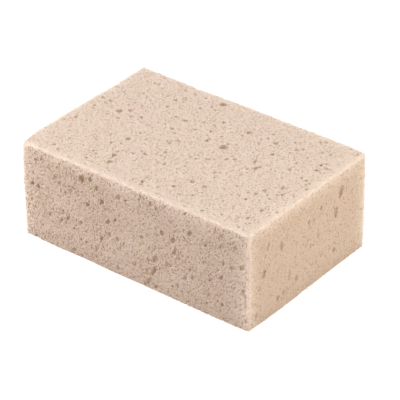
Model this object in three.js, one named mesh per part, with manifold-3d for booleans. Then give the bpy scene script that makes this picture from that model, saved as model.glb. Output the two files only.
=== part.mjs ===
// A grout sponge: one block of coarse open-cell foam for washing grout off tiles.
// Its edges are softened, and its faces cut through the largest bubbles of the foam.
//
// Millimetres, +Z up. X runs along the block, Y runs across it, and the origin is the middle of
// the underside. The front face looks along -Y and the right end along +X.
import * as THREE from "three";
import { mergeVertices } from "three/addons/utils/BufferGeometryUtils.js";
import Module from "manifold-3d";

// The block.
const LENGTH = 180;
const WIDTH = 120;
const HEIGHT = 70;
const CORNER_RADIUS = 2; // of the four upright edges
const EDGE_RADIUS = 1.5; // of the edges around the top and the underside
const CORNER_STEPS = 4; // flats in each quarter round
const EDGE_STEPS = 4;

// The cells. A cell is a bubble, and its middle lies a little below the face that cuts it open.
const CELL_SUNK = 0.3; // depth of its middle, in cell radii
const CELL_SIDES = 10;
const CELL_RINGS = 5;
const CELL_RISE = 1.35; // foam rises as it sets, which stretches its cells upwards by this much
const OPENING_SHARE = Math.sqrt(1 - CELL_SUNK ** 2); // opening's width over the bubble's
const END_DEPTH = 0.7; // the two ends are cut smoother, so their cells are this deep beside the others

// The cells of the back, the left end and the underside are scattered within these limits.
const SCATTER_WIDTH = [2.5, 4.5]; // least and greatest
const SCATTER_BORDER = 9; // strip along the edges with none
const SCATTER_SPACING = 14; // least distance between the middles of two cells
const SCATTER_CLEAR_MIDDLE = 10; // radius without cells at the middle of a face
const SCATTER_SEED = 4219;

// Open-cell foam is matt, pale and slightly pink.
const foam = new THREE.MeshStandardMaterial({ color: 0xdcc3ae, roughness: 0.95, metalness: 0 });

const wasm = await Module();
wasm.setup();

// Each face: its middle, the direction along it, the direction up it, its length and height, and
// the depth of its cells beside those of the long faces. The outward direction is along x up.
const faces = {
  top: face([0, 0, HEIGHT], [1, 0, 0], [0, 1, 0], LENGTH, WIDTH),
  underside: face([0, 0, 0], [-1, 0, 0], [0, 1, 0], LENGTH, WIDTH),
  front: face([0, -WIDTH / 2, HEIGHT / 2], [1, 0, 0], [0, 0, 1], LENGTH, HEIGHT),
  back: face([0, WIDTH / 2, HEIGHT / 2], [-1, 0, 0], [0, 0, 1], LENGTH, HEIGHT),
  right: face([LENGTH / 2, 0, HEIGHT / 2], [0, 1, 0], [0, 0, 1], WIDTH, HEIGHT, END_DEPTH),
  left: face([-LENGTH / 2, 0, HEIGHT / 2], [0, -1, 0], [0, 0, 1], WIDTH, HEIGHT, END_DEPTH),
};

// The largest openings in the top, the front and the right end. Each is [along, up, width, height,
// lean]: its middle counted from the face's middle, its size, and its lean to the right in degrees.
const topCells = [
  [-17, 53, 5.5, 4.5, 0],
  [15.5, 11, 5, 5.5, 0],
  [-65, 6, 4, 4.5, 20],
  [17.5, 35, 3, 3.5, 0],
  [39, 34, 3, 3, 0],
  [54, 36, 3.5, 3, 0],
  [42, 9, 2.5, 5, -25],
  [47, 3, 3, 4, 0],
  [64, 14.5, 3, 3, 0],
  [74, -5.5, 2.5, 4.5, -15],
  [-38, -17.5, 3.5, 4, 0],
  [-32, -38, 4, 3.5, 0],
  [-29, -46, 3, 4, 0],
  [26, -33, 3.5, 3, 0],
  [35, -33, 3, 3.5, 0],
  [-78, 12.5, 3.5, 3, 0],
  [-24, 22, 3.5, 3, 0],
  [79, -33, 2.5, 3, 0],
  [-60, 11, 3, 3, 0],
  [-24, 9, 3, 3, 0],
  [-60, -1.5, 3.5, 2.5, 0],
  [-0.5, -27, 2.5, 3, 0],
  [-28.5, -11, 2, 4.5, -20],
  [44, -8, 2.5, 3, 0],
  [67, -14, 2.5, 3.5, 0],
  [65, -21, 2.5, 3, 0],
  [80, 10.5, 2.5, 3, 0],
  [77.5, -45, 2.5, 2.5, 0],
  [17, -6.5, 2.5, 2.5, 0],
  [68, 43.5, 2.5, 3, 0],
];
const frontCells = [
  [-40, 25, 4.5, 6, 10],
  [-33, 27, 3.5, 3.5, 20],
  [-28, 23, 3, 4.5, 15],
  [-78.5, 24.5, 2.5, 3, 0],
  [-10, 23, 2.5, 4.5, 0],
  [15, 28, 3, 4.5, 0],
  [32, 8.5, 3.5, 5, 20],
  [23.5, 10.5, 3, 4, 0],
  [-36, 8, 3.5, 3.5, 0],
  [-62.5, 18, 2.5, 4, 0],
  [27, -11, 2.5, 5, 10],
  [41, -15, 2.5, 5, 15],
  [47, -12.5, 2.5, 4, 0],
  [18, -11, 3, 6, 15],
  [16.5, -20.5, 3, 9, 20],
  [11, -23, 2.5, 6, 0],
  [-12.5, -8.5, 2.5, 4.5, 0],
  [-25.5, -13, 2.5, 4, 0],
  [84.5, 10, 3, 4.5, 20],
  [-24, 14.5, 3, 4.5, 30],
  [-53, -9, 2.5, 5, 10],
  [-42.5, -8.5, 2.5, 5, 20],
  [-19.5, 1.5, 3, 5, 35],
  [-49.5, 13, 2.5, 4.5, 10],
  [-54, 9.5, 2.5, 3.5, 10],
  [-57, -6, 2.5, 4.5, 0],
  [-77, 5, 2.5, 4.5, -10],
  [12.5, -29, 3, 6, 25],
  [45, 18.5, 3.5, 4.5, 20],
  [34, 2.5, 2.5, 4.5, 10],
  [7, 1, 3, 3, 20],
  [80, 22, 2.5, 4, 20],
  [70.5, 7.5, 2.5, 3, 20],
  [77, 7, 3, 3.5, 20],
  [69, -3.5, 3, 4, 30],
  [57.5, 15.5, 2.5, 3.5, 20],
];
const rightCells = [
  [33.5, 19.5, 4.5, 9, 10],
  [28.5, 7, 3.5, 9, 0],
  [-28, 11.5, 3, 8, 0],
  [-41.5, 18, 2.5, 5.5, 20],
  [-45.5, 0.5, 3.5, 6, 0],
  [-31, -24.5, 3, 4, 0],
  [-25.5, -23.5, 2.5, 4.5, 0],
  [-52.5, -26, 3, 4.5, 15],
  [-12, -20, 3, 4, 0],
  [27, -20, 3.5, 4, 0],
  [5, 13, 2.5, 3.5, 0],
  [12.5, 18, 2.5, 3, 0],
  [9.5, 0.5, 2, 6, 10],
  [-19.5, -14.5, 2.5, 7, 10],
  [2, -4.5, 2, 3.5, 0],
  [0, 14, 2.5, 4, 15],
  [8, -19.5, 2, 4, 0],
];

function face(middle, along, up, length, height, cellDepth = 1) {
  const alongDirection = new THREE.Vector3(...along);
  const upDirection = new THREE.Vector3(...up);
  return {
    middle: new THREE.Vector3(...middle),
    along: alongDirection,
    up: upDirection,
    out: alongDirection.clone().cross(upDirection),
    length,
    height,
    cellDepth,
  };
}

// The plan of the block: a rectangle with quarter-round corners.
function blockOutline() {
  const x = LENGTH / 2 - CORNER_RADIUS;
  const y = WIDTH / 2 - CORNER_RADIUS;
  const outline = new THREE.Shape();
  outline.absarc(x, y, CORNER_RADIUS, 0, Math.PI / 2);
  outline.absarc(-x, y, CORNER_RADIUS, Math.PI / 2, Math.PI);
  outline.absarc(-x, -y, CORNER_RADIUS, Math.PI, 1.5 * Math.PI);
  outline.absarc(x, -y, CORNER_RADIUS, 1.5 * Math.PI, 2 * Math.PI);
  return outline;
}

function uncutBlock() {
  const geometry = new THREE.ExtrudeGeometry(blockOutline(), {
    depth: HEIGHT - 2 * EDGE_RADIUS,
    bevelThickness: EDGE_RADIUS,
    bevelSize: EDGE_RADIUS,
    bevelOffset: -EDGE_RADIUS,
    bevelSegments: EDGE_STEPS,
    curveSegments: CORNER_STEPS,
  });
  return geometry.translate(0, 0, EDGE_RADIUS);
}

// A bubble that opens through a face. Its depth goes with the smaller side of its opening.
function cellGeometry(onFace, [along, up, width, height, lean]) {
  const depthRadius = (Math.min(width, height) / 2) * onFace.cellDepth;
  const geometry = new THREE.SphereGeometry(1, CELL_SIDES, CELL_RINGS).rotateX(Math.PI / 2);
  geometry.scale(width / 2 / OPENING_SHARE, height / 2 / OPENING_SHARE, depthRadius);
  geometry.rotateZ(THREE.MathUtils.degToRad(-lean));
  geometry.translate(along, up, -CELL_SUNK * depthRadius);
  const faceFrame = new THREE.Matrix4().makeBasis(onFace.along, onFace.up, onFace.out);
  return geometry.applyMatrix4(faceFrame.setPosition(onFace.middle));
}

// Evenly spread numbers from 0 to 1, the same ones every time.
function numberSource(seed) {
  let state = seed;
  return () => {
    state = (state * 16807) % 2147483647;
    return state / 2147483647;
  };
}

// Cells scattered over a face, apart from each other and clear of its edges and its middle.
function scatteredCells(onFace, count, random) {
  const between = (low, high) => low + (high - low) * random();
  const cells = [];
  while (cells.length < count) {
    const along = between(SCATTER_BORDER - onFace.length / 2, onFace.length / 2 - SCATTER_BORDER);
    const up = between(SCATTER_BORDER - onFace.height / 2, onFace.height / 2 - SCATTER_BORDER);
    const width = between(...SCATTER_WIDTH);
    const rise = onFace.up.z === 1 ? CELL_RISE : 1;
    const free = cells.every(([a, b]) => Math.hypot(a - along, b - up) > SCATTER_SPACING);
    if (free && Math.hypot(along, up) > SCATTER_CLEAR_MIDDLE) {
      cells.push([along, up, width, width * rise, 0]);
    }
  }
  return cells;
}

function allCells() {
  const random = numberSource(SCATTER_SEED);
  const cellsOfFaces = [
    [faces.top, topCells],
    [faces.front, frontCells],
    [faces.right, rightCells],
    [faces.back, scatteredCells(faces.back, 16, random)],
    [faces.left, scatteredCells(faces.left, 10, random)],
    [faces.underside, scatteredCells(faces.underside, 16, random)],
  ];
  return cellsOfFaces.flatMap(([onFace, cells]) => cells.map((cell) => cellGeometry(onFace, cell)));
}

// A closed geometry as a solid, and a solid as a geometry.
function toSolid(geometry) {
  geometry.deleteAttribute("normal");
  geometry.deleteAttribute("uv");
  const merged = mergeVertices(geometry);
  const vertProperties = merged.attributes.position.array;
  const triVerts = new Uint32Array(merged.index.array);
  return new wasm.Manifold(new wasm.Mesh({ numProp: 3, vertProperties, triVerts }));
}

function toGeometry(solid) {
  const { vertProperties, triVerts } = solid.getMesh();
  const geometry = new THREE.BufferGeometry();
  geometry.setAttribute("position", new THREE.BufferAttribute(vertProperties, 3));
  geometry.setIndex(new THREE.BufferAttribute(triVerts, 1));
  const flatShaded = geometry.toNonIndexed();
  flatShaded.computeVertexNormals();
  return flatShaded;
}

function foamBlock() {
  let block = toSolid(uncutBlock());
  for (const cell of allCells()) {
    block = block.subtract(toSolid(cell));
  }
  const mesh = new THREE.Mesh(toGeometry(block), foam);
  mesh.name = "foam_block";
  return mesh;
}

const sponge = new THREE.Group();
sponge.add(foamBlock());

export default sponge;
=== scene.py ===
"""The looks of a grout sponge: one block of coarse open-cell foam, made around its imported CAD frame.

The block's skin is a fine lattice, and the bubbles of the foam that the skin cuts through are carved
out of it: first the large ones that the CAD block has, then medium ones, then small ones.
Lengths are in metres, in the frame's axes: X along the block, Y across it, Z up.
"""

import itertools
import math

import bpy
import numpy as np
from mathutils import Matrix, Vector


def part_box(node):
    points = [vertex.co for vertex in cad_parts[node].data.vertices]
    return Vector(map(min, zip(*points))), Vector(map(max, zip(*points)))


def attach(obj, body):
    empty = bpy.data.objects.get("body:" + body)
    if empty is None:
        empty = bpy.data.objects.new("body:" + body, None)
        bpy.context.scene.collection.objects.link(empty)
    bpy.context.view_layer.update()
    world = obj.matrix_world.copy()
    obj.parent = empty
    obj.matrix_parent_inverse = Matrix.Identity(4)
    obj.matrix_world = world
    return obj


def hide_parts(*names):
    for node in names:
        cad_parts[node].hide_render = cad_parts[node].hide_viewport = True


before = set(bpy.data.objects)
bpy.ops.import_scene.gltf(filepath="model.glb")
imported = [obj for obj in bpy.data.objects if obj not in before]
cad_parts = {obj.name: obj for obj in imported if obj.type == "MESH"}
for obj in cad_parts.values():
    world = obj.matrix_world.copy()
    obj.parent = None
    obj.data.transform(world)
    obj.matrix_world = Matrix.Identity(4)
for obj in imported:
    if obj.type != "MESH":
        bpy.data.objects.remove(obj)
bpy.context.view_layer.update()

MM = 0.001
NODE = "foam_block"
LOW, HIGH = (np.array(corner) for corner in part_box(NODE))
SIZE = HIGH - LOW
MIDDLE = (LOW + HIGH) / 2

# The skin.
STEP = 0.3 * MM  # of the lattice
EDGE_RADIUS = 1.5 * MM
# Three corners are worn rounder than the others: which, as signs of X, Y and Z, and by how much.
SOFT_CORNERS = (
    ((-1, -1, 1), 2.2 * MM),
    ((1, -1, -1), 1.2 * MM),
    ((1, 1, 1), 1.6 * MM),
)
SOFT_CORNER_REACH = 16 * MM  # how far from such a corner the edges get their own radius back
SWELL_COUNT = 9  # long waves that keep the sides from being dead flat
SWELL_LENGTHS = (26 * MM, 80 * MM)  # the shortest and the longest wave
SWELL_HEIGHT = 0.05 * MM  # of each wave
LUMPS = ((7 * MM, 0.10 * MM), (2.2 * MM, 0.06 * MM))  # spacing and height of the skin's lumps
NIBBLE = (3 * MM, 0.35 * MM)  # spacing and depth of the notches along the block's edges
GRAIN_SIDEWAYS = 0.08 * MM  # how far each lattice point strays
GRAIN_DEPTH = 0.05 * MM  # and how far it stands in or out
TORN_SHARE = (0.01, 0.17)  # of the lattice points that are torn ends of threads: on a face, on an edge
TORN_HEIGHT = 0.3 * MM  # mean height of a torn end
TORN_LIMIT = 1.1 * MM  # no torn end is higher

# The foam's cells.
RISE = 1.45  # foam sets as it rises, which stretches its bubbles upwards
SUNK = 0.3  # depth of a large bubble's middle under the skin, in its radii
# The scattered bubbles: their spacing, their least and largest radius, and the share of places that
# have one.
MEDIUM_BUBBLES = (3.8 * MM, (0.4 * MM, 1.4 * MM), 0.7)
SMALL_BUBBLES = (1.0 * MM, (0.4 * MM, 0.75 * MM), 0.45)
# How much of their depth the bubbles have on the ends, which were cut smoother, on the long sides, and on
# the top and the underside. Threads close the rest of it.
LARGE_DEPTHS = (0.7, 0.6, 0.8)
SMALLER_DEPTHS = (0.36, 0.82, 0.8)
PORE_DEPTHS = (0.7, 1, 0.5)  # the same for the finest pores, which are painted shade in the colour, and bump
# How many places there are for a fine pore to a metre, and its radius as a share of that spacing.
FINE_PORES = ((600, 0.38), (1100, 0.38), (1700, 0.44))
FINE_PORE_BLUR = 0.12  # how wide the soft rim of a fine pore is, in the same shares

# The marks on the skin that its colour follows; most of them paint shade, highlight and glow into it.
PIT_DEPTH = 1.6 * MM  # at this depth the full painted shade of a cell's floor is reached
RIM_WIDTH = 3.6 * MM  # the strip along the block's edges: worn there, and painted pale as a highlight
GLOW_WIDTH = 12 * MM  # how far light leaks round the edges through the foam
RIM_SHARE = 0.45  # of the edges' painted highlight, the share in the narrow strip, the rest being the wider painted glow
TOP_LOSS = 0.75  # how much weaker the painted edge highlight and glow are on the top, where the light comes from
RUBBED_SHUT = 0.75  # of the smaller bubbles' and the pores' depth, right on the edges
CONTACT_SHADE_HEIGHT = 14 * MM  # the colour is a little darker this far up from the underside: painted shade near the floor

SEED = 83


def fade(distance, reach):
    """1 at no distance, falling smoothly to 0 at reach and beyond."""
    t = np.clip(1 - distance / reach, 0, 1)
    return t * t * (3 - 2 * t)


def unit(vectors):
    """The vectors, each made 1 long."""
    return vectors / np.linalg.norm(vectors, axis=-1, keepdims=True)


# ---------------------------------------------------------------- the skin

def block_lattice():
    """The lattice on the six sides of the box.

    Returns the points, the four-cornered faces as rows of point numbers turned outwards, and each face
    corner's place on the unfolded skin."""
    counts = np.round(SIZE / STEP).astype(int)
    steps = SIZE / counts
    gap = 10 * STEP  # between the sides on the unfolded skin
    length, width, height = SIZE
    # Where each side goes on the unfolded skin, by axis and end.
    charts = {
        (2, 1): (0, 0),
        (2, 0): (0, width + gap),
        (0, 1): (0, 2 * (width + gap)),
        (1, 0): (length + gap, 0),
        (1, 1): (length + height + 2 * gap, 0),
        (0, 0): (length + gap, length + gap),
    }
    across = length + 2 * height + 2 * gap
    places, flat_places = [], []
    for axis, end in itertools.product(range(3), (0, 1)):
        along, up = (axis + 1) % 3, (axis + 2) % 3
        i, j = np.meshgrid(np.arange(counts[along]), np.arange(counts[up]), indexing="ij")
        # The order of a face's corners that turns it outwards.
        ring = ((0, 0), (1, 0), (1, 1), (0, 1)) if end else ((0, 0), (0, 1), (1, 1), (1, 0))
        side = np.empty((i.size, 4, 3), int)
        for corner, (di, dj) in enumerate(ring):
            side[:, corner, axis] = counts[axis] * end
            side[:, corner, along] = (i + di).ravel()
            side[:, corner, up] = (j + dj).ravel()
        flat = side[..., (along, up)] * steps[[along, up]] + charts[axis, end]
        places.append(side)
        flat_places.append(flat / across)
    places = np.concatenate(places).reshape(-1, 3)
    flat_places = np.concatenate(flat_places).reshape(-1, 2)
    strides = np.array(((counts[1] + 1) * (counts[2] + 1), counts[2] + 1, 1))
    _, first, faces = np.unique(places @ strides, return_index=True, return_inverse=True)
    return LOW + places[first] * steps, faces.reshape(-1, 4), flat_places


def round_off(points):
    """Moves points on the box onto the rounded block.

    Returns their places, and how far each one is from the nearest edge of the box that it doesn't
    rest on."""
    local = points - MIDDLE
    radius = EDGE_RADIUS
    for signs, extra in SOFT_CORNERS:
        distance = np.linalg.norm(local - SIZE / 2 * signs, axis=1, keepdims=True)
        radius = radius + extra * fade(distance, SOFT_CORNER_REACH)
    reach = SIZE / 2 - radius
    core = np.clip(local, -reach, reach)
    gaps = SIZE / 2 - abs(local)
    gaps[:, 2] = HIGH[2] - points[:, 2]
    edge_distance = np.sort(gaps, axis=1)[:, 1]
    return MIDDLE + core + radius * unit(local - core), edge_distance


def outward(points, faces):
    """The mean outward direction of the faces round each point."""
    a, b, c, d = (points[faces[:, corner]] for corner in range(4))
    normals = np.repeat(np.cross(c - a, d - b), 4, axis=0)
    sums = [np.bincount(faces.ravel(), normals[:, axis], len(points)) for axis in range(3)]
    return unit(np.stack(sums, axis=1))


def swell(points, random):
    """Low waves over the whole block, as a height for each point."""
    height = np.zeros(len(points))
    for _ in range(SWELL_COUNT):
        direction = unit(random.normal(size=3))
        length = random.uniform(*SWELL_LENGTHS)
        phase = random.uniform(0, 2 * math.pi)
        height += SWELL_HEIGHT * np.sin(points @ direction * 2 * math.pi / length + phase)
    return height


def lumps(points, spacing, random):
    """Smooth random heights between -1 and 1 that change over about the spacing."""
    places = (points - LOW) / spacing + 1
    home = np.floor(places).astype(int)
    part = places - home
    part = part * part * (3 - 2 * part)
    values = random.uniform(-1, 1, home.max(axis=0) + 2)
    height = np.zeros(len(points))
    for corner in itertools.product((0, 1), repeat=3):
        share = np.where(corner, part, 1 - part).prod(axis=1)
        height += share * values[tuple((home + corner).T)]
    return height


# ---------------------------------------------------------------- the cells

def way_out(place, heading):
    """How far each place has to go along its heading to leave the unit ball; 0 if it is outside."""
    a = (heading * heading).sum(axis=1)
    b = (place * heading).sum(axis=1)
    c = (place * place).sum(axis=1) - 1
    root = np.sqrt(np.maximum(b * b - a * c, 0))
    return np.where(c < 0, (root - b) / a, 0)


def cad_mesh():
    """The points and triangles of the CAD block, with the points that lie on each other made one."""
    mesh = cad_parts[NODE].data
    mesh.calc_loop_triangles()
    points = np.empty((len(mesh.vertices), 3), np.float32)
    mesh.vertices.foreach_get("co", points.ravel())
    triangles = np.empty((len(mesh.loop_triangles), 3), np.int32)
    mesh.loop_triangles.foreach_get("vertices", triangles.ravel())
    tenths_of_micron = np.round(points / (MM / 10000)).astype(np.int64)
    _, first, same = np.unique(tenths_of_micron, axis=0, return_index=True, return_inverse=True)
    return points[first].astype(float), same.ravel()[triangles]


def connected(triangles, count):
    """For each of the count points, the lowest point that triangles join it to."""
    label = np.arange(count)
    while True:
        lowest = label[triangles].min(axis=1)
        joined = label.copy()
        np.minimum.at(joined, triangles.ravel(), np.repeat(lowest, 3))
        joined = joined[joined]
        if (joined == label).all():
            return label
        label = joined


def cad_cells():
    """The large cells of the CAD block, read from its mesh.

    Each is the middle of its bubble, a matrix that turns the bubble into a unit ball, and the bubble's
    largest radius."""
    points, triangles = cad_mesh()
    touch = 0.001 * MM
    on_side = np.concatenate((abs(points - LOW) < touch, abs(points - HIGH) < touch), axis=1)

    # Without the flat sides, the mesh falls into the rounded edges, which are one piece, and the cells.
    curved = triangles[~on_side[triangles].all(axis=1).any(axis=1)]
    label = connected(curved, len(points))
    cells = []
    for name in np.unique(label[curved]):
        members = np.unique(curved[label[curved[:, 0]] == name])
        if np.ptp(points[members], axis=0).max() > SIZE.min():
            continue  # the rounded edges
        side = int(np.argmax(on_side[members].sum(axis=0)))
        axis, outwards = side % 3, 1 if side >= 3 else -1
        rim = points[members][on_side[members, side]]
        opening = rim.mean(axis=0)
        depth = abs(points[members, axis] - opening[axis]).max()
        spread, directions = np.linalg.eigh(np.cov((rim - opening).T, bias=True))
        radii = np.sqrt(2 * np.maximum(spread, 0)) / math.sqrt(1 - SUNK**2)
        radii[0] = depth / (1 + SUNK)  # the rim is flat, so its least spread is along the depth
        middle = opening.copy()
        middle[axis] -= outwards * SUNK * radii[0]
        cells.append((middle, directions.T / radii[:, None], radii.max()))
    return cells


def carve_cad_cells(points, directions):
    """The depth at each point of the large cells."""
    depth = np.zeros(len(points))
    for middle, to_ball, reach in cad_cells():
        near = np.flatnonzero((abs(points - middle) < reach).all(axis=1))
        place = (points[near] - middle) @ to_ball.T
        heading = -directions[near] @ to_ball.T
        depth[near] = np.maximum(depth[near], way_out(place, heading))
    return depth


def carve_bubbles(points, directions, spacing, radii, share, random):
    """The depth at each point of bubbles scattered through the foam, about one to each spacing.

    A bubble makes a bowl as deep as it is wide where the skin cuts it."""
    # In squeezed places the bubbles are balls, and each cube of size 1 has the middle of at most one.
    squeeze = np.array((1, 1, 1 / RISE))
    places = (points - LOW) * squeeze / spacing
    stretch = np.linalg.norm(directions * squeeze, axis=1) / spacing
    home = np.floor(places).astype(int) + 1
    counts = home.max(axis=0) + 2
    middles = random.random((*counts, 3)) + np.indices(counts).transpose(1, 2, 3, 0) - 1
    low, high = radii
    radius = (low + (high - low) * random.random(counts) ** 2) / spacing  # most are small
    radius[random.random(counts) > share] = 0
    depth = np.zeros(len(points))
    for neighbour in itertools.product((-1, 0, 1), repeat=3):
        at = tuple((home + neighbour).T)
        inside = radius[at] ** 2 - ((places - middles[at]) ** 2).sum(axis=1)
        depth = np.maximum(depth, np.sqrt(np.maximum(inside, 0)) / stretch)
    return depth


# ---------------------------------------------------------------- the mesh

def loose_threads(rim, pit, random):
    """The height at each point of torn ends of threads, mostly on the rim, and of the foam's grain."""
    count = len(rim)
    torn = np.minimum(random.exponential(TORN_HEIGHT, count), TORN_LIMIT)
    is_torn = random.random(count) < np.interp(rim, (0, 1), TORN_SHARE)
    return torn * is_torn * (1 - pit) + random.normal(scale=GRAIN_DEPTH, size=count)


def foam_mesh():
    """The skin with its cells carved out of it.

    Returns its points, its faces, each face corner's place on the unfolded skin, and the marks of each
    point from 0 to 1: how deep it lies in a cell, how much painted edge highlight and glow it gets,
    whether it is on an end, how deep its pores are, and how near it is to the underside, for a painted
    shade there."""
    random = np.random.default_rng(SEED)
    points, faces, flat_places = block_lattice()
    skin, edge_distance = round_off(points)
    rim = fade(edge_distance, RIM_WIDTH)
    directions = outward(skin, faces)
    height = swell(skin, random)
    for spacing, size in LUMPS:
        height += size * lumps(skin, spacing, random)
    nibble_spacing, nibble_depth = NIBBLE
    height -= nibble_depth * rim * np.maximum(lumps(skin, nibble_spacing, random), 0)
    skin = skin + directions * height[:, None]

    points = skin + random.normal(scale=GRAIN_SIDEWAYS, size=skin.shape)
    depth = carve_cad_cells(points, directions) * (directions**2 @ LARGE_DEPTHS)
    points = points - directions * depth[:, None]
    left_open = 1 - RUBBED_SHUT * rim
    share_of_depth = directions**2 @ SMALLER_DEPTHS * left_open
    for spacing, radii, share in (MEDIUM_BUBBLES, SMALL_BUBBLES):
        headings = outward(points, faces)
        depth = carve_bubbles(points, headings, spacing, radii, share, random) * share_of_depth
        points = points - headings * depth[:, None]

    pit = np.clip(np.linalg.norm(points - skin, axis=1) / PIT_DEPTH, 0, 1)
    points = points + directions * loose_threads(rim, pit, random)[:, None]
    points[:, 2] = np.maximum(points[:, 2], LOW[2])
    # Painted highlight and glow along the edges, none along the underside's edges: light that the foam
    # lets through round its lit edges.
    painted_edge_glow = RIM_SHARE * rim + (1 - RIM_SHARE) * fade(edge_distance, GLOW_WIDTH)
    painted_edge_glow *= 1 - TOP_LOSS * directions[:, 2] ** 2
    marks = {
        "pit": pit,
        "rim": painted_edge_glow,
        "end": directions[:, 0] ** 2,
        "pore": directions**2 @ PORE_DEPTHS * left_open,
        # painted shade near the floor
        "contact_shade": fade(points[:, 2] - LOW[2], CONTACT_SHADE_HEIGHT),
    }
    return points, faces, flat_places, marks


def build_sponge():
    """The block of foam as one object, with its marks and its unfolded skin."""
    points, faces, flat_places, marks = foam_mesh()
    mesh = bpy.data.meshes.new("sponge")
    mesh.vertices.add(len(points))
    mesh.vertices.foreach_set("co", points.astype(np.float32).ravel())
    mesh.loops.add(faces.size)
    mesh.loops.foreach_set("vertex_index", faces.astype(np.int32).ravel())
    mesh.polygons.add(len(faces))
    mesh.polygons.foreach_set("loop_start", np.arange(0, faces.size, 4, dtype=np.int32))
    mesh.update(calc_edges=True)
    mesh.polygons.foreach_set("use_smooth", np.ones(len(faces), bool))
    unfolded = mesh.uv_layers.new(name="OFBake")
    unfolded.data.foreach_set("uv", flat_places.astype(np.float32).ravel())
    for name, values in marks.items():
        attribute = mesh.attributes.new(name, "FLOAT", "POINT")
        attribute.data.foreach_set("value", values.astype(np.float32))
    mesh.validate()
    sponge = bpy.data.objects.new("foam_sponge", mesh)
    bpy.context.scene.collection.objects.link(sponge)
    return sponge


# ---------------------------------------------------------------- materials

def add_node(tree, kind, **settings):
    """A shader node, with values for its own properties and for its inputs."""
    node = tree.nodes.new(kind)
    for name, value in settings.items():
        if hasattr(node, name):
            setattr(node, name, value)
        else:
            node.inputs[name].default_value = value
    return node


def foam_material():
    """Matt foam: pale and pinkish, with painted shade making it browner down in its cells, in its fine
    pores and near its underside, and a painted highlight making it creamy along the edges.
    """
    material = bpy.data.materials.new("open_cell_foam")
    material.use_nodes = True
    tree = material.node_tree
    shader = tree.nodes["Principled BSDF"]
    finish = {
        "Diffuse Roughness": 1,
        "Specular IOR Level": 0.15,
        "Sheen Weight": 0.15,
        "Sheen Roughness": 0.6,
        "Subsurface Weight": 0.5,
        "Subsurface Radius": (1, 0.85, 0.75),
        "Subsurface Scale": 1.2 * MM,
    }
    for name, value in finish.items():
        shader.inputs[name].default_value = value

    place = add_node(tree, "ShaderNodeTexCoord").outputs["Object"]
    pit, rim, end, pore, contact_shade = (
        add_node(tree, "ShaderNodeAttribute", attribute_name=mark).outputs["Fac"]
        for mark in ("pit", "rim", "end", "pore", "contact_shade")
    )

    squeeze = add_node(tree, "ShaderNodeMapping", Scale=(1, 1, 1 / RISE))
    tree.links.new(place, squeeze.inputs["Vector"])
    squeezed = squeeze.outputs["Vector"]

    def noise(scale, detail):
        """Smooth random values, about as many to a metre as the scale."""
        node = add_node(tree, "ShaderNodeTexNoise", Scale=scale, Detail=detail)
        tree.links.new(place, node.inputs["Vector"])
        return node.outputs["Fac"]

    def pores(scale, size):
        """Scattered dots, stretched upwards by the foam's rise. Not every place has one."""
        node = add_node(tree, "ShaderNodeTexVoronoi", Scale=scale)
        tree.links.new(squeezed, node.inputs["Vector"])
        dots = spread(node.outputs["Distance"], size, size - FINE_PORE_BLUR, 0, 1)
        has_dot = spread(node.outputs["Color"], 0.6, 0.64, 0, 1)
        return mix(1.0, dots, has_dot, blend="MULTIPLY")

    def mix(factor, first, second, blend="MIX"):
        """The second laid over the first. All three are numbers, colours or outputs of other nodes."""
        node = add_node(tree, "ShaderNodeMix", data_type="RGBA", blend_type=blend)
        for value, socket in ((factor, node.inputs[0]), (first, node.inputs[6]), (second, node.inputs[7])):
            if isinstance(value, (tuple, float)):
                socket.default_value = value
            else:
                tree.links.new(value, socket)
        return node.outputs[2]

    def spread(value, low, high, to_low, to_high):
        """The value, stretched so that low becomes to_low and high becomes to_high, its limits."""
        limits = {"From Min": low, "From Max": high, "To Min": to_low, "To Max": to_high}
        node = add_node(tree, "ShaderNodeMapRange", **limits)
        tree.links.new(value, node.inputs["Value"])
        return node.outputs["Result"]

    pinkish = (0.624, 0.483, 0.411, 1)
    yellowish = (0.619, 0.491, 0.407, 1)
    edge_highlight_cream = (0.86, 0.715, 0.62, 1)
    pit_shade_brown = (0.445, 0.295, 0.195, 1)
    pore_shade_brown = (0.37, 0.242, 0.158, 1)
    end_warm_light_tint = (1, 0.98, 0.9, 1)
    contact_shade_tint = (0.9, 0.89, 0.88, 1)

    blotches = spread(noise(45, 2), 0.4, 0.6, 0, 1)
    blotched = mix(blotches, pinkish, yellowish)
    # Painted light: the ends are tinted yellower, a share of the warm light falling on them.
    tinted = mix(end, blotched, end_warm_light_tint, blend="MULTIPLY")
    # Painted highlight: paler and creamier along the edges, where light glows through the foam.
    edge_lit = mix(rim, tinted, edge_highlight_cream)
    # Painted shade: browner down in the cells, where less light reaches.
    pit_shaded = mix(spread(pit, 0, 1, 0, 0.8), edge_lit, pit_shade_brown)
    holes = (0.0, 0.0, 0.0, 1.0)
    for scale, size in FINE_PORES:
        holes = mix(1.0, holes, pores(scale, size), blend="LIGHTEN")
    # Painted shade: the fine pores are dark brown dots in the colour.
    pore_shaded = mix(mix(1.0, holes, pore, blend="MULTIPLY"), pit_shaded, pore_shade_brown)
    grain = spread(noise(1500, 1), 0.3, 0.7, 0.92, 1.08)
    grained = mix(1.0, pore_shaded, grain, blend="MULTIPLY")
    # Painted shade: a little darker near the underside, where the floor shades it.
    contact_shaded = mix(contact_shade, grained, mix(1.0, grained, contact_shade_tint, blend="MULTIPLY"))
    tree.links.new(contact_shaded, shader.inputs["Base Color"])

    roughness = spread(noise(600, 2), 0.3, 0.7, 0.85, 1)
    tree.links.new(roughness, shader.inputs["Roughness"])

    beside_holes = spread(holes, 0, 1, 1, 0)
    relief = mix(0.5, noise(1300, 3), beside_holes)
    bump = add_node(tree, "ShaderNodeBump", Strength=0.6, Distance=0.25 * MM)
    tree.links.new(relief, bump.inputs["Height"])
    tree.links.new(bump.outputs["Normal"], shader.inputs["Normal"])
    return material


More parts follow.
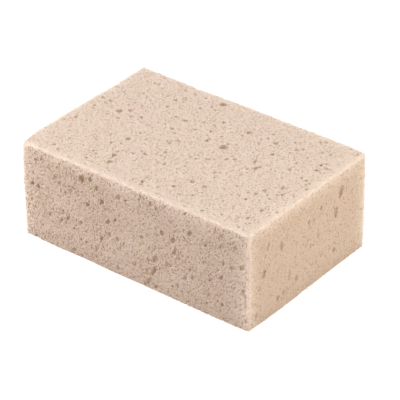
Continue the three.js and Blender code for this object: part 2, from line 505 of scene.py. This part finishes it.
def floor_material():
    """A pale floor whose own glow keeps the block's shadow off it."""
    material = bpy.data.materials.new("pale_floor")
    material.use_nodes = True
    shader = material.node_tree.nodes["Principled BSDF"]
    shader.inputs["Base Color"].default_value = (0.05, 0.05, 0.05, 1)
    shader.inputs["Roughness"].default_value = 1
    shader.inputs["Specular IOR Level"].default_value = 0
    shader.inputs["Emission Color"].default_value = (1.05, 1, 0.98, 1)
    shader.inputs["Emission Strength"].default_value = 0.98
    return material


# ---------------------------------------------------------------- the studio

def direction_from(azimuth, elevation):
    """The direction from the block towards a place at an azimuth and an elevation, in degrees."""
    around = math.radians(azimuth)
    upwards = math.radians(elevation)
    level = math.cos(upwards)
    return Vector((math.sin(around) * level, -math.cos(around) * level, math.sin(upwards)))


def aimed(location, towards, roll=0.0):
    """The matrix of a camera or lamp at a location, looking along a direction."""
    turn = Vector(towards).to_track_quat("-Z", "Y").to_matrix().to_4x4()
    return Matrix.Translation(location) @ turn @ Matrix.Rotation(math.radians(roll), 4, "Z")


def add_camera():
    """A camera with a long lens at the picture's viewing angle, held a little askew."""
    azimuth, elevation, roll = 38.785, 32.292, -0.573
    distance = 1.341
    beside, above = 4.2 * MM, -4.0 * MM  # the block sits a little off the middle of the view
    camera = bpy.data.objects.new("camera", bpy.data.cameras.new("camera"))
    camera.data.sensor_width = 36
    camera.data.lens = 190.9
    camera.data.clip_start = 0.05
    camera.data.clip_end = 20
    back = direction_from(azimuth, elevation)
    facing = aimed(Vector(MIDDLE) + back * distance, -back, roll)
    camera.matrix_world = facing @ Matrix.Translation((beside, above, 0))
    bpy.context.scene.collection.objects.link(camera)
    bpy.context.scene.camera = camera


def add_lamp(name, azimuth, elevation, distance, width, power, colour):
    """A soft square lamp that shines on the block."""
    lamp = bpy.data.lights.new(name, "AREA")
    lamp.size = width
    lamp.energy = power
    lamp.color = colour
    towards = direction_from(azimuth, elevation)
    holder = bpy.data.objects.new(name, lamp)
    holder.matrix_world = aimed(Vector(MIDDLE) + towards * distance, -towards)
    bpy.context.scene.collection.objects.link(holder)


def add_studio():
    """A plain pale floor under an even sky, with a lamp overhead, one in front and one at each end."""
    half = 3  # of the floor's width
    mesh = bpy.data.meshes.new("floor")
    corners = [(-half, -half, 0), (half, -half, 0), (half, half, 0), (-half, half, 0)]
    mesh.from_pydata(corners, [], [(0, 1, 2, 3)])
    mesh.materials.append(floor_material())
    floor = bpy.data.objects.new("floor", mesh)
    bpy.context.scene.collection.objects.link(floor)
    sky = bpy.data.worlds.new("sky")
    sky.use_nodes = True
    sky.node_tree.nodes["Background"].inputs["Color"].default_value = (1, 1, 1, 1)
    sky.node_tree.nodes["Background"].inputs["Strength"].default_value = 0.445
    bpy.context.scene.world = sky
    # Each lamp's azimuth and elevation in degrees, its distance and width, its power in watts, its colour.
    add_lamp("overhead", -20, 75, 1.5, 0.6, 17.4, (0.87, 0.945, 0.99))
    add_lamp("front", 40, 35, 1.5, 0.6, 3.8, (1, 0.93, 0.78))
    add_lamp("right", 95, 22, 0.45, 0.2, 0.595, (1, 0.97, 0.84))
    add_lamp("left", -62, 17, 0.4, 0.3, 0.8, (1, 0.95, 0.86))
    bpy.context.scene.view_settings.view_transform = "Standard"


add_camera()
add_studio()
sponge = build_sponge()
sponge.data.materials.append(foam_material())
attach(sponge, "root")
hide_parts(NODE)
